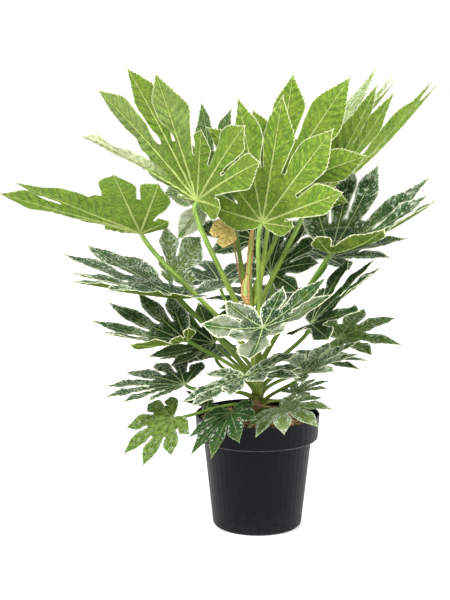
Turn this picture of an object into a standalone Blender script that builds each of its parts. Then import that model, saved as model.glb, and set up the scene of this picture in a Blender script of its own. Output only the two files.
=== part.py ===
# Fatsia japonica in its black nursery pot.
# Metres, +Z up. The origin is the centre of the pot's flat underside.
# -Y is the side that faces the viewer, +X is the viewer's right.
import math
import random

import bmesh
import bpy
from mathutils import Vector

# Pot: a pot of 21 cm with a wide rim band
pot_height = 0.193
rim_radius = 0.105
rim_low_radius = 0.1022
rim_low = 0.152
neck_radius = 0.0912
foot_radius = 0.0755
foot_corner = 0.007
wall = 0.0020
pot_sides = 48
drain_holes = 6
drain_radius = 0.006
drain_circle = 0.050

# Growing mix and the stem that stands in a plain hole in it
mix_top = 0.181
mix_hole_floor = 0.120
gap = 0.0003
stem_sides = 16
stem_foot_radius = 0.0100
stem_top = 0.415
scar_depth = 0.0003
stem_lean = -0.016
stem_lean_from = 0.250

# Leaves
blade_thickness = 0.0007
rib_depth = 0.0022
lobe_fold = 10.0
lobe_width = 0.172
sinus_reach = 0.42
lobe_share_at_sinus = 0.93
lobe_share = 0.97
lobe_waist = 0.28
lobe_point = 1.3
tilt_reach = 0.6
stalk_sides = 6
stalk_rings = 6
stalk_least = 0.0020
stalk_growth = 0.0082
stalk_foot_swell = 1.45
stalk_low_swell = 1.12
stalk_hub_gap = 1.7
stalk_meets_at = 45.0
stalk_tail = 0.22
stalk_start = 0.30

# One row for each leaf. node is the height at which its stalk leaves the stem and leave the
# compass angle there, if that isn't the hub's own. hub is where stalk and lobes meet. heading,
# pitch and roll turn the blade: heading 0 looks right, 90 away, 180 left and -90 at the viewer.
# length is the middle lobe's. spread is the angle from the middle to the last lobe. cup lifts
# the lobes off the flat, droop bends them down, and turn, scale and lift alter single lobes.
# tilt turns single lobes about their midribs. width, reach, meet and tail stand in for
# lobe_width, sinus_reach, stalk_meets_at and stalk_tail on a leaf that differs from the rest.
leaves = [
    dict(name="leaf_top_left", node=0.350, hub=(-0.098, -0.060, 0.557), heading=197, pitch=84,
         roll=15, length=0.275, lobes=9, spread=97, droop=0.15, cup=-6, fall=0.70, meet=35, tail=0.09,
         turn=(15, 10, 5, 0, -2, 3, 5, -5, -8), scale=(0.25, 1.25, 1.15, 1, 0.85, 0.55, 1, 1.05, 0.45),
         lift=(0, -8, -5, -3, -5, 0, 3, 4, 0), tilt=(-35, -45, -12, 12, 22, 0, 0, 0, 0)),
    dict(name="leaf_top_front", node=0.315, leave=-60, hub=(0.007, -0.100, 0.527), heading=-83, pitch=76,
         roll=-50, length=0.220, lobes=7, spread=93, droop=0.03, cup=8, meet=35, tail=0.09,
         turn=(0, 0, 2, 0, 0, -3, -10), scale=(1, 1, 1, 0.95, 1, 0.95, 0.4), lift=(-5, 0, 3, 2, 2, -2, 0)),
    dict(name="leaf_top_middle", node=0.385, hub=(0.029, 0.0, 0.573), heading=-60, pitch=79,
         roll=-50, length=0.200, lobes=7, spread=93, droop=0.0, cup=8,
         turn=(0, 0, 4, 0, -5, 0, 0), scale=(1, 1, 0.7, 0.95, 1.15, 1, 1)),
    dict(name="leaf_top_right_behind", node=0.392, hub=(0.072, 0.140, 0.578), heading=20, pitch=22,
         roll=-9, length=0.230, lobes=5, spread=80, droop=-0.58, cup=11,
         turn=(0, 3, 0, -12, 0), scale=(0.7, 1, 0.95, 1.25, 1)),
    dict(name="leaf_top_right", node=0.362, hub=(0.081, 0.080, 0.527), heading=5, pitch=10,
         roll=-25, length=0.265, lobes=7, spread=80, droop=-0.50, cup=26, width=0.155,
         turn=(0, 7, -3, 0, -9, 0, 0), scale=(0.9, 0.95, 0.85, 1.05, 1.25, 1, 1)),
    dict(name="leaf_top_left_behind", node=0.395, hub=(-0.075, 0.150, 0.550), heading=87, pitch=67,
         roll=-55, length=0.185, lobes=7, spread=110, droop=0.19, cup=11, stalk=0.0040,
         turn=(0, 0, 0, 0, 0, 0, 12), scale=(1, 1, 1, 1, 1, 1, 1.1), tilt=(0, 0, 0, 0, 0, -25, -30)),
    dict(name="leaf_far_left", node=0.300, hub=(-0.189, -0.070, 0.506), heading=230, pitch=22,
         roll=10, length=0.230, lobes=7, spread=80, droop=0.0, cup=8, reach=0.6,
         turn=(0, 0, -2, -14, 2, -5, 0), scale=(0.5, 1.0, 1.1, 1.05, 0.95, 1, 0.5),
         lift=(0, 0, -5, -4, 0, 0, 0), tilt=(0, 0, 10, 0, 0, 0, 0)),
    dict(name="leaf_upper_right", node=0.288, hub=(0.117, -0.080, 0.477), heading=-2, pitch=15,
         roll=18, length=0.205, lobes=8, spread=100, droop=-0.41, cup=13,
         turn=(-10, 14, 7, 0, -3, 9, -2, -4), scale=(0.6, 0.9, 1.15, 0.85, 0.9, 0.95, 1.05, 1.05),
         lift=(26, 3, 2, 0, -3, 0, 0, 0), tilt=(0, -36, -8, 0, 0, 0, 0, 0)),
    dict(name="leaf_upper_middle", node=0.310, hub=(0.021, 0.080, 0.418), heading=22, pitch=62,
         roll=13, length=0.145, lobes=8, spread=89, droop=0.31, cup=3,
         turn=(0, 5, 0, 0, 3, -2, -4, 0), scale=(1.05, 1.05, 1, 0.9, 0.9, 1, 1, 1)),
    dict(name="leaf_front", node=0.282, hub=(0.008, -0.130, 0.364), heading=-79, pitch=-21,
         roll=21, length=0.135, lobes=8, spread=140, droop=-0.38, cup=8, width=0.20,
         turn=(-3, 0, -8, 4, 0, 4, -3, 0), scale=(1, 0.95, 0.55, 1.2, 0.55, 1.05, 1.1, 0.9),
         lift=(2, 0, 0, 0, 0, 3, 0, -2), tilt=(0, -45, -20, 0, 0, 0, 0, 0)),
    dict(name="leaf_left_behind", node=0.270, hub=(-0.150, 0.120, 0.403), heading=121, pitch=52,
         roll=19, length=0.100, lobes=5, spread=92, droop=0.04, cup=15, width=0.30,
         turn=(0, 2, 0, 0, 0), scale=(0.8, 1.3, 1, 0.55, 0.6)),
    dict(name="leaf_left", node=0.262, hub=(-0.131, -0.020, 0.392), heading=168, pitch=3, roll=0,
         length=0.250, lobes=8, spread=115, droop=-0.03, cup=10,
         turn=(0, 0, 13, 0, 0, 0, -9, 0), scale=(1.05, 0.55, 1.15, 1, 0.75, 0.95, 1.05, 1),
         lift=(-5, -10, 0, 0, 0, 0, 0, 0)),
    dict(name="leaf_right", node=0.262, hub=(0.087, -0.040, 0.353), heading=-23, pitch=28, roll=17,
         length=0.175, lobes=8, spread=85, droop=0.05, cup=11,
         scale=(1, 1, 1, 0.95, 0.9, 1, 1.1, 1), lift=(5, -10, -5, 5, 0, 0, 5, 0)),
    dict(name="leaf_middle_left", node=0.250, hub=(-0.116, -0.060, 0.329), heading=193, pitch=-11,
         roll=-12, length=0.160, lobes=8, spread=87, droop=-0.35, cup=14,
         width=0.15, scale=(1, 1, 1, 1, 1, 0.95, 0.6, 0.6), lift=(5, 3, 0, -3, 0, -2, 5, 20),
         tilt=(0, 0, 0, 0, 8, 40, 30, 0)),
    dict(name="leaf_middle_left_behind", node=0.244, hub=(-0.075, 0.070, 0.299), heading=153,
         pitch=-11, roll=-30, length=0.125, lobes=7, spread=98, droop=-0.08, cup=13,
         turn=(0, 8, 0, -5, 0, 0, 0), scale=(1, 1, 1, 0.85, 1, 1, 1)),
    dict(name="leaf_middle_right", node=0.240, hub=(0.141, 0.080, 0.306), heading=24, pitch=10,
         roll=11, length=0.118, lobes=7, spread=123, droop=0.25, cup=8,
         turn=(0, 0, 0, 0, -4, 0, 0), lift=(0, 0, -4, 4, 4, 0, 0)),
    dict(name="leaf_low_front", node=0.232, hub=(-0.021, -0.090, 0.277), heading=-87, pitch=-10,
         roll=13, length=0.135, lobes=8, spread=110, droop=0.10, cup=8,
         turn=(-5, 5, 0, 5, 0, 0, 0, -5), scale=(0.9, 1.05, 1, 0.95, 1, 1, 0.9, 1.15),
         lift=(0, -10, -5, 5, 10, 0, -5, 0)),
    dict(name="leaf_low_left", node=0.222, hub=(-0.121, -0.030, 0.247), heading=151, pitch=-8,
         roll=-11, length=0.150, lobes=8, spread=82, droop=0.18, cup=10,
         turn=(0, 4, -4, -4, 0, 0, 0, 0)),
    dict(name="leaf_low_right", node=0.215, hub=(0.074, -0.060, 0.275), heading=21, pitch=20,
         roll=-2, length=0.115, lobes=7, spread=110, droop=0.16, cup=9),
    dict(name="leaf_small_right", node=0.205, hub=(0.062, 0.050, 0.215), heading=13, pitch=15,
         roll=0, length=0.073, lobes=7, spread=108, droop=0.25, cup=8),
    dict(name="leaf_rim_right", node=0.200, hub=(0.037, -0.075, 0.220), heading=-51, pitch=0,
         roll=17, length=0.100, lobes=7, spread=104, droop=0.45, cup=6,
         lift=(-3, 0, 4, 0, 0, 0, 0)),
    dict(name="leaf_rim_front", node=0.196, hub=(-0.044, -0.108, 0.218), heading=-105, pitch=-32,
         roll=24, length=0.090, lobes=7, spread=104, droop=0.45, cup=11, width=0.20),
    dict(name="leaf_rim_left", node=0.192, hub=(-0.085, 0.0, 0.200), heading=150, pitch=25,
         roll=5, length=0.060, lobes=5, spread=110, droop=0.45, cup=16),
    dict(name="leaf_hanging", node=0.206, hub=(-0.140, -0.060, 0.198), heading=-176, pitch=-34,
         roll=-29, length=0.092, lobes=7, spread=110, droop=0.38, cup=8, width=0.20, reach=0.5),
    dict(name="leaf_back_top", node=0.322, leave=135, hub=(-0.005, 0.210, 0.460), heading=90, pitch=40,
         roll=0, length=0.150, lobes=7, spread=115, droop=0.15, cup=8),
    dict(name="leaf_back_upper_left", node=0.300, hub=(-0.070, 0.200, 0.385), heading=105,
         pitch=8, roll=0, length=0.130, lobes=7, spread=115, droop=0.20, cup=8),
    dict(name="leaf_back_upper_right", node=0.330, leave=60, hub=(0.125, 0.180, 0.430), heading=45,
         pitch=15, roll=0, length=0.160, lobes=7, spread=115, droop=0.20, cup=8),
    dict(name="leaf_back_middle", node=0.275, hub=(0.020, 0.185, 0.345), heading=85, pitch=5,
         roll=0, length=0.160, lobes=7, spread=115, droop=0.25, cup=8),
    dict(name="leaf_back_low_left", node=0.230, hub=(-0.075, 0.125, 0.262), heading=115, pitch=0,
         roll=0, length=0.130, lobes=7, spread=115, droop=0.30, cup=8),
    dict(name="leaf_back_low_right", node=0.225, hub=(0.085, 0.110, 0.255), heading=50, pitch=0,
         roll=0, length=0.130, lobes=7, spread=115, droop=0.30, cup=8),
    dict(name="dry_leaf", node=0.402, leave=175, hub=(-0.045, 0.005, 0.508), heading=200, pitch=-35,
         roll=-55, length=0.060, lobes=2, spread=30, droop=0.2, cup=0, stalk=0.0015, width=0.36,
         reach=1.2),
]
# Leaves with lobes over this length have two teeth on each margin, smaller ones have one
two_teeth_over = 0.135

# Papery brown sheaths by the top of the stem: (centre, half width) from the bottom up
sheaths = {
    "stem_sheath": (((-0.0175, -0.0105, 0.380), 0.0050), ((-0.0210, -0.0125, 0.394), 0.0072),
                    ((-0.0210, -0.0120, 0.412), 0.0068), ((-0.0180, -0.0105, 0.428), 0.0020)),
    "upper_sheath": (((-0.0160, -0.0006, 0.4154), 0.0024), ((-0.0155, -0.0010, 0.425), 0.0045),
                     ((-0.0140, -0.0020, 0.450), 0.0052), ((-0.0110, -0.0040, 0.490), 0.0042),
                     ((-0.0085, -0.0040, 0.520), 0.0012)),
}
sheath_thickness = 0.0012

# Colours, linear RGB
colours = {
    "young": (0.230, 0.390, 0.090),
    "mature": (0.050, 0.130, 0.050),
    "pot": (0.012, 0.012, 0.014),
    "mix": (0.130, 0.060, 0.030),
    "bark": (0.180, 0.160, 0.070),
    "husk": (0.480, 0.250, 0.090),
}
young_leaves = ("leaf_top_left", "leaf_top_front", "leaf_top_middle", "leaf_top_right_behind",
                "leaf_top_right", "leaf_far_left")


def material(name, colour, roughness):
    new = bpy.data.materials.new(name)
    new.use_nodes = True
    shader = new.node_tree.nodes["Principled BSDF"]
    shader.inputs["Base Color"].default_value = (*colour, 1.0)
    shader.inputs["Roughness"].default_value = roughness
    shader.inputs["Metallic"].default_value = 0.0
    return new


def add_object(name, points, faces, look):
    """Make one closed object from points and faces, with its faces turned outwards."""
    mesh = bpy.data.meshes.new(name)
    bm = bmesh.new()
    verts = [bm.verts.new(p) for p in points]
    for face in faces:
        bm.faces.new([verts[k] for k in face])
    bmesh.ops.recalc_face_normals(bm, faces=bm.faces)
    if bm.calc_volume(signed=True) < 0:
        bmesh.ops.reverse_faces(bm, faces=bm.faces)
    bm.to_mesh(mesh)
    bm.free()
    mesh.materials.append(look)
    mesh.shade_smooth()
    mesh.set_sharp_from_angle(angle=math.radians(35))
    item = bpy.data.objects.new(name, mesh)
    bpy.context.scene.collection.objects.link(item)
    return item


def turned(profile, sides):
    """Points and faces of a profile of (radius, height) turned round Z. Its ends are on the axis."""
    points = [Vector((0, 0, profile[0][1])), Vector((0, 0, profile[-1][1]))]
    rings = []
    for radius, height in profile[1:-1]:
        rings.append(len(points))
        for k in range(sides):
            angle = 2 * math.pi * k / sides
            points.append(Vector((radius * math.cos(angle), radius * math.sin(angle), height)))
    faces = []
    for k in range(sides):
        after = (k + 1) % sides
        faces.append((0, rings[0] + after, rings[0] + k))
        faces.append((1, rings[-1] + k, rings[-1] + after))
        for low, high in zip(rings, rings[1:]):
            faces.append((low + k, low + after, high + after))
            faces.append((low + k, high + after, high + k))
    return points, faces


def make_pot():
    corner = [(foot_radius - foot_corner * (1 - math.sin(t)), foot_corner * (1 - math.cos(t)))
              for t in (0.0, math.radians(30), math.radians(60), math.radians(90))]
    outside = [(0.0, 0.0)] + corner + [
        (neck_radius, rim_low - 0.0015),
        (rim_low_radius - 0.0012, rim_low),
        (rim_low_radius, rim_low + 0.0012),
        (rim_radius, pot_height - 0.001),
        (rim_radius - 0.001, pot_height)]
    inside = [(rim_radius - wall, pot_height - 0.0004),
              (rim_low_radius - wall, rim_low + wall),
              (neck_radius - wall, rim_low + wall - 0.0012),
              (foot_radius - wall, foot_corner),
              (foot_radius - wall - 0.005, wall),
              (0.0, wall)]
    points, faces = turned(outside + inside, pot_sides)
    pot = add_object("pot", points, faces, material("pot_plastic", colours["pot"], 0.5))
    for k in range(drain_holes):
        angle = 2 * math.pi * (k + 0.5) / drain_holes
        place = (drain_circle * math.cos(angle), drain_circle * math.sin(angle), wall / 2)
        bpy.ops.mesh.primitive_cylinder_add(vertices=10, radius=drain_radius, depth=4 * wall,
                                            location=place, rotation=(0, 0, angle + 0.1))
        cutter = bpy.context.object
        cutter.name = "drain_cutter"
        cut = pot.modifiers.new("drain", "BOOLEAN")
        cut.operation = "DIFFERENCE"
        cut.object = cutter
        bpy.context.view_layer.objects.active = pot
        bpy.ops.object.modifier_apply(modifier=cut.name)
        bpy.data.objects.remove(cutter)
    return pot


def stem_axis(height):
    """Centre of the stem at a height: it leans a little to the viewer's left near its top."""
    t = min(max((height - stem_lean_from) / (stem_top - stem_lean_from), 0.0), 1.0)
    return Vector((stem_lean * t * t * (3 - 2 * t), 0.0, height))


def stem_radius(height):
    """Slight waist above the mix, thick where the big leaves leave it, narrow at its top."""
    if height < 0.27:
        return stem_foot_radius + 0.0006 * math.sin((height - mix_top) * 60)
    t = min((height - 0.27) / (stem_top - 0.27), 1.0)
    return stem_foot_radius + 0.0003 - 0.0040 * t


def make_mix():
    """Growing mix that fills the pot, with a bumpy top and a hole for the stem."""
    rng = random.Random(4)
    hole = stem_foot_radius + gap
    slack = 0.0005
    profile = [(0.0, mix_hole_floor), (hole, mix_hole_floor), (hole, mix_top),
               (0.024, mix_top + 0.002), (0.042, mix_top), (0.060, mix_top + 0.001),
               (0.080, mix_top - 0.001), (rim_low_radius - wall - slack, mix_top - 0.003),
               (rim_low_radius - wall - slack, rim_low + wall + slack),
               (neck_radius - wall - slack, rim_low + wall - 0.0012),
               (foot_radius - wall - slack, foot_corner + slack),
               (foot_radius - wall - 0.006, wall + slack), (0.0, wall + slack)]
    sides = 24
    points, faces = turned(profile, sides)
    first_bumpy = 2 + 2 * sides
    last_bumpy = 2 + 6 * sides
    for k in range(first_bumpy, last_bumpy):
        points[k].z += rng.uniform(-0.0018, 0.0018)
    return add_object("growing_mix", points, faces, material("mix_fibre", colours["mix"], 0.95))


def tube(centres, radii, sides, side):
    """Rings of points round a line of centres. side is the way the first point of a ring faces."""
    rings = []
    for k, centre in enumerate(centres):
        ahead = centres[min(k + 1, len(centres) - 1)] - centres[max(k - 1, 0)]
        ahead.normalize()
        side = side - side.dot(ahead) * ahead
        side.normalize()
        up = ahead.cross(side)
        ring = []
        for j in range(sides):
            angle = 2 * math.pi * j / sides
            ring.append(centre + radii[k] * (math.cos(angle) * side + math.sin(angle) * up))
        rings.append(ring)
    return rings


def skin(rings, points, faces):
    """Join rings of points into a tube and return the index at which each ring starts."""
    starts = []
    sides = len(rings[0])
    for ring in rings:
        starts.append(len(points))
        points.extend(ring)
    for low, high in zip(starts, starts[1:]):
        for j in range(sides):
            after = (j + 1) % sides
            faces.append((low + j, low + after, high + after))
            faces.append((low + j, high + after, high + j))
    return starts


def cap(start, sides, faces):
    for j in range(1, sides - 1):
        faces.append((start, start + j, start + j + 1))


def make_stem():
    heights = [mix_hole_floor + gap, mix_top]
    scars = (0.205, 0.225, 0.248, 0.272, 0.300, 0.335, 0.370)
    for scar in scars:
        heights += [scar - 0.004, scar]
    heights += [stem_top - 0.012, stem_top - 0.003, stem_top]
    radii = [stem_radius(h) for h in heights]
    radii[0] = stem_foot_radius
    radii[1] = stem_foot_radius
    radii[-2] = radii[-2] * 0.8
    radii[-1] = radii[-1] * 0.4
    for k, h in enumerate(heights):
        if h in scars:
            radii[k] -= scar_depth
    points = []
    faces = []
    rings = tube([stem_axis(h) for h in heights], radii, stem_sides, Vector((1, 0, 0)))
    starts = skin(rings, points, faces)
    cap(starts[0], stem_sides, faces)
    cap(starts[-1], stem_sides, faces)
    return add_object("stem", points, faces, material("stem_bark", colours["bark"], 0.8))


def make_sheath(name, spine, look):
    """A narrow strip that stands on end and folds back at its two edges."""
    points = []
    faces = []
    rings = []
    for centre, half in spine:
        ring = []
        for out, back in ((-1, 0.35), (0, 0), (1, 0.35)):
            ring.append(Vector(centre) + Vector((out * half, back * half, 0)))
        rings.append(ring + [p + Vector((0, sheath_thickness, 0)) for p in ring[::-1]])
    starts = skin(rings, points, faces)
    for start in (starts[0], starts[-1]):
        faces.append((start, start + 1, start + 4, start + 5))
        faces.append((start + 1, start + 2, start + 3, start + 4))
    return add_object(name, points, faces, look)


class Lobe:
    """One lobe of a blade: its direction, its length and the places on its surface."""

    def __init__(self, leaf, index):
        count = leaf["lobes"]
        ahead, across, up = leaf["axes"]
        spread = math.radians(leaf["spread"])
        turn = leaf.get("turn", (0,) * count)[index]
        lift = leaf.get("lift", (0,) * count)[index]
        scale = leaf.get("scale", (1,) * count)[index]
        fall = leaf.get("fall", 0.62)
        self.angle = -spread + 2 * spread * index / (count - 1) + math.radians(turn)
        shorter = fall + (1 - fall) * math.cos(self.angle * math.pi / 2 / spread)
        self.length = leaf["length"] * scale * shorter
        rise = math.radians(leaf["cup"] + lift)
        flat = math.cos(self.angle) * ahead + math.sin(self.angle) * across
        self.direction = math.cos(rise) * flat + math.sin(rise) * up
        self.hub = Vector(leaf["hub"])
        self.up = up
        self.droop = leaf["droop"]
        self.reach = leaf.get("reach", sinus_reach)
        self.half_width = leaf.get("width", lobe_width) * math.sqrt(self.length * leaf["length"])
        self.tilt = math.radians(leaf.get("tilt", (0,) * count)[index])

    def point(self, along, out):
        """Point at a distance along the midrib and out to its side, on a shallow V."""
        s = along / self.length
        down = Vector((0, 0, -1))
        centre = self.hub + self.length * (s * self.direction + self.droop * s * s / 2 * down)
        ahead = (self.direction + s * self.droop * down).normalized()
        normal = (self.up - self.up.dot(ahead) * ahead).normalized()
        side = normal.cross(ahead)
        x = min(max(s / tilt_reach, 0.0), 1.0)
        tilt = self.tilt * x * x * (3 - 2 * x)
        across = math.cos(tilt) * side + math.sin(tilt) * normal
        rise = math.cos(tilt) * normal - math.sin(tilt) * side
        fold = math.radians(lobe_fold)
        return centre + out * math.cos(fold) * across + abs(out) * math.sin(fold) * rise

    def width(self, t):
        """Half width at a share t of the way from the sinus to the tip."""
        return self.half_width * math.sin(math.pi * (lobe_waist + (1 - lobe_waist) * t)) ** lobe_point


def margin(lobe, side, neighbour, teeth):
    """Chain of (along, out, shift) from the first point off the hub to the last before the tip."""
    if neighbour is None:
        chain = [(0.10 * lobe.length, side * 0.075 * lobe.length, None)]
        start = 0.26 * lobe.length
        limit = None
        chain.append((start, side * lobe.width(0.02), None))
    else:
        half = abs(neighbour.angle - lobe.angle) / 2
        reach = lobe.reach * (lobe.length + neighbour.length) / 2
        reach = min(reach, 0.72 * min(lobe.length, neighbour.length))
        start = reach * math.cos(half)
        out = start * math.tan(half)
        own = lobe.point(start, side * out)
        shared = (own + neighbour.point(start, -side * out)) / 2
        chain = [(start, side * out, shared - own)]
        limit = math.tan(half)
    if teeth == 2:
        stations = ((0.12, 0.95), (0.42, 1.03), (0.47, 0.92), (0.74, 1.06))
    else:
        stations = ((0.14, 0.95), (0.55, 1.05), (0.61, 0.90))
    for t, swell in stations:
        along = start + (lobe.length - start) * t
        out = lobe.width(t) * swell
        shift = None
        if limit is not None:
            out = min(out, (lobe_share_at_sinus if t < 0.2 else lobe_share) * along * limit)
            fade = min((along - start) / (0.22 * lobe.length), 1.0)
            shift = chain[0][2] * (1 - fade * fade * (3 - 2 * fade))
        chain.append((along, side * out, shift))
    return chain


def blade(leaf):
    """Middle surface of a blade: points, triangles, and how deep the rib is under each point."""
    lobes = [Lobe(leaf, k) for k in range(leaf["lobes"])]
    teeth = 2 if leaf["length"] > two_teeth_over else 1
    points = [Vector(leaf["hub"])]
    ribs = [1.0]
    faces = []
    ring = []
    shared = None
    for k, lobe in enumerate(lobes):
        before = lobes[k - 1] if k > 0 else None
        after = lobes[k + 1] if k + 1 < len(lobes) else None
        margins = (margin(lobe, -1, before, teeth), margin(lobe, 1, after, teeth))
        fork = 0.5 * (margins[0][0][0] + margins[1][0][0])
        middle = [0]
        middle_along = [0.0]
        for along, depth in ((fork, 0.55), (0.66 * lobe.length, 0.25)):
            middle.append(len(points))
            middle_along.append(along)
            points.append(lobe.point(along, 0.0))
            ribs.append(depth)
        tip = len(points)
        points.append(lobe.point(lobe.length, 0.0))
        ribs.append(0.0)
        middle.append(tip)
        middle_along.append(lobe.length)
        for side, chain in zip((-1, 1), margins):
            edge = [0]
            edge_along = [0.0]
            for j, (along, out, shift) in enumerate(chain):
                reuse = j == 0 and side < 0 and shared is not None
                if reuse:
                    edge.append(shared)
                else:
                    edge.append(len(points))
                    place = lobe.point(along, out)
                    points.append(place + shift if shift is not None else place)
                    ribs.append(0.0)
                edge_along.append(along)
            edge.append(tip)
            edge_along.append(lobe.length)
            if side < 0 and k == 0:
                ring.append(edge[1])
            if side > 0:
                ring.append(middle[1])
                ring.append(edge[1])
                shared = edge[1]
            a = 0
            b = 0
            while a < len(middle) - 1 or b < len(edge) - 1:
                by_middle = b == len(edge) - 1 or (
                    a < len(middle) - 1 and middle_along[a + 1] <= edge_along[b + 1])
                if a == 0 and b == 0:
                    triangle = (0, middle[1], edge[1])
                    a = 1
                    b = 1
                elif by_middle:
                    triangle = (middle[a], middle[a + 1], edge[b])
                    a += 1
                else:
                    triangle = (middle[a], edge[b + 1], edge[b])
                    b += 1
                if len(set(triangle)) == 3:
                    faces.append(triangle if side > 0 else triangle[::-1])
    return points, faces, ribs, ring


def bezier(a, b, c, d, t):
    return (1 - t) ** 3 * a + 3 * (1 - t) ** 2 * t * b + 3 * (1 - t) * t * t * c + t ** 3 * d


def make_stalk(leaf):
    """Rings of the leaf stalk from its wide base beside the stem to just under the hub."""
    hub = Vector(leaf["hub"])
    ahead, across, up = leaf["axes"]
    axis = stem_axis(leaf["node"])
    leave = math.radians(leaf["leave"]) if "leave" in leaf else math.atan2(hub.y - axis.y, hub.x - axis.x)
    outward = Vector((math.cos(leave), math.sin(leave), 0))
    thick = leaf.get("stalk", stalk_least + stalk_growth * leaf["length"])
    radii = [thick] * (stalk_rings + 1)
    radii[0] = thick * stalk_foot_swell
    radii[1] = thick * stalk_low_swell
    meet = math.radians(leaf.get("meet", stalk_meets_at))
    out = stem_radius(leaf["node"]) + 2 * thick
    for _ in range(3):
        start = axis + out * outward
        chord = (hub - start).normalized()
        begin = (chord + 0.25 * outward + Vector((0, 0, 0.55))).normalized()
        # the stalk meets the blade at this angle or steeper
        slant = chord - chord.dot(up) * up
        bent = chord.dot(up) < slant.length * math.tan(meet)
        end = math.cos(meet) * slant.normalized() + math.sin(meet) * up if bent else chord
        reach = (hub - start).length
        last = hub - end * thick * stalk_hub_gap
        tail = reach * leaf.get("tail", stalk_tail)
        controls = (start, start + begin * reach * stalk_start, last - end * tail, last)
        centres = [bezier(*controls, t / stalk_rings) for t in range(stalk_rings + 1)]
        lead = (up - ahead) - (up - ahead).dot(end) * end
        rings = tube(centres[::-1], radii[::-1], stalk_sides, lead)[::-1]
        # the base comes in until its nearest corner is one gap off the stem
        out -= min((p - stem_axis(p.z)).length - stem_radius(p.z) for p in rings[0]) - gap
    return rings, last, end, lead


def make_leaf(leaf, look):
    heading, pitch, roll = (math.radians(leaf[key]) for key in ("heading", "pitch", "roll"))
    ahead = Vector((math.cos(pitch) * math.cos(heading), math.cos(pitch) * math.sin(heading),
                    math.sin(pitch)))
    level = Vector((-math.sin(heading), math.cos(heading), 0))
    rise = ahead.cross(level)
    across = math.cos(roll) * level + math.sin(roll) * rise
    up = math.cos(roll) * rise - math.sin(roll) * level
    leaf["axes"] = (ahead, across, up)

    middle, triangles, ribs, ring = blade(leaf)
    normals = [Vector() for _ in middle]
    for a, b, c in triangles:
        normal = (middle[b] - middle[a]).cross(middle[c] - middle[a])
        for k in (a, b, c):
            normals[k] += normal
    if normals[0].dot(up) < 0:
        normals = [-n for n in normals]
    half = blade_thickness / 2
    size = min(leaf["length"] / 0.2, 1.0)
    upper = [p + n.normalized() * half for p, n in zip(middle, normals)]
    lower = [p - n.normalized() * (half + rib_depth * size * r) for p, n, r in zip(middle, normals, ribs)]
    points = upper + lower
    under = len(middle)
    faces = list(triangles)
    edges = {}
    for triangle in triangles:
        for k in range(3):
            a, b = triangle[k], triangle[(k + 1) % 3]
            edges[(a, b)] = True
        if 0 not in triangle:
            faces.append(tuple(k + under for k in reversed(triangle)))
    for a, b in edges:
        if (b, a) not in edges:
            if b != 0:
                faces.append((a, b + under, b))
            if a != 0:
                second = (a, a + under, b + under) if b != 0 else (a, a + under, b)
                faces.append(second)

    rings, centre, end, lead = make_stalk(leaf)
    starts = skin(rings, points, faces)
    cap(starts[0], stalk_sides, faces)
    hole = [0] + [k + under for k in ring]
    top = [starts[-1] + j for j in range(stalk_sides)]
    turn_start = max(range(stalk_sides), key=lambda j: (points[top[j]] - centre).dot(lead))
    top = top[turn_start:] + top[:turn_start]
    # both loops have to run the same way round
    sense = sum((points[hole[j]] - centre).cross(points[hole[(j + 1) % len(hole)]] - centre).dot(end)
                for j in range(len(hole)))
    turn = sum((points[top[j]] - centre).cross(points[top[(j + 1) % len(top)]] - centre).dot(end)
               for j in range(len(top)))
    if sense * turn < 0:
        top = [top[0]] + top[:0:-1]
    a = 0
    b = 0
    while a < len(hole) or b < len(top):
        here = hole[a % len(hole)]
        there = top[b % len(top)]
        next_hole = hole[(a + 1) % len(hole)]
        next_top = top[(b + 1) % len(top)]
        share_hole = (a + 1) / len(hole)
        share_top = (b + 1) / len(top)
        if b >= len(top) or (a < len(hole) and share_hole <= share_top):
            faces.append((here, next_hole, there))
            a += 1
        else:
            faces.append((here, next_top, there))
            b += 1
    return add_object(leaf["name"], points, faces, look)


def main():
    for item in list(bpy.data.objects):
        bpy.data.objects.remove(item)
    make_pot()
    make_mix()
    make_stem()
    husk = material("husk", colours["husk"], 0.8)
    for name, spine in sheaths.items():
        make_sheath(name, spine, husk)
    for leaf in leaves:
        kind = "young" if leaf["name"] in young_leaves else "mature"
        if leaf["name"] == "dry_leaf":
            kind = "husk"
        make_leaf(dict(leaf), material(leaf["name"] + "_green", colours[kind], 0.45))


main()
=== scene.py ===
from math import atan2, cos, exp, hypot, pi, radians, sin, sqrt, tan

import bpy
import numpy as np
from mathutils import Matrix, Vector, noise


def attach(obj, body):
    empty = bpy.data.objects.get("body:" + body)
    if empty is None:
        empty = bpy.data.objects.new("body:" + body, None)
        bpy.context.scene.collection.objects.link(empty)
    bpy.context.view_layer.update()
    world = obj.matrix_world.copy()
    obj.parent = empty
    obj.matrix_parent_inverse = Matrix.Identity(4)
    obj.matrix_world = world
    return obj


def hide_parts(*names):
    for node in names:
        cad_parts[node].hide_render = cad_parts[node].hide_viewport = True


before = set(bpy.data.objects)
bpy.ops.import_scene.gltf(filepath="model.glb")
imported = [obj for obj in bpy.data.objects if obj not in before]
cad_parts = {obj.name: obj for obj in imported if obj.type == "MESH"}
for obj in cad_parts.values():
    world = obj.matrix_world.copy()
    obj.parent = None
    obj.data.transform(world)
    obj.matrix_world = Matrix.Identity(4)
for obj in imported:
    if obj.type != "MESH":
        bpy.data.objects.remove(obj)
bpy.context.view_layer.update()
fullTurn = 2 * pi
print("frame loaded,", len(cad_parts), "nodes")


# shader nodes: inputs take signals or plain values, by the socket's name or number


def plug(tree, socket, value):
    if isinstance(value, Signal):
        tree.links.new(value.socket, socket)
    elif socket.type == "RGBA":
        socket.default_value = (*value, 1)
    else:
        socket.default_value = value


def plugAll(tree, step, inputs):
    for label, value in inputs.items():
        plug(tree, step.inputs[label], value)


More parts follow.
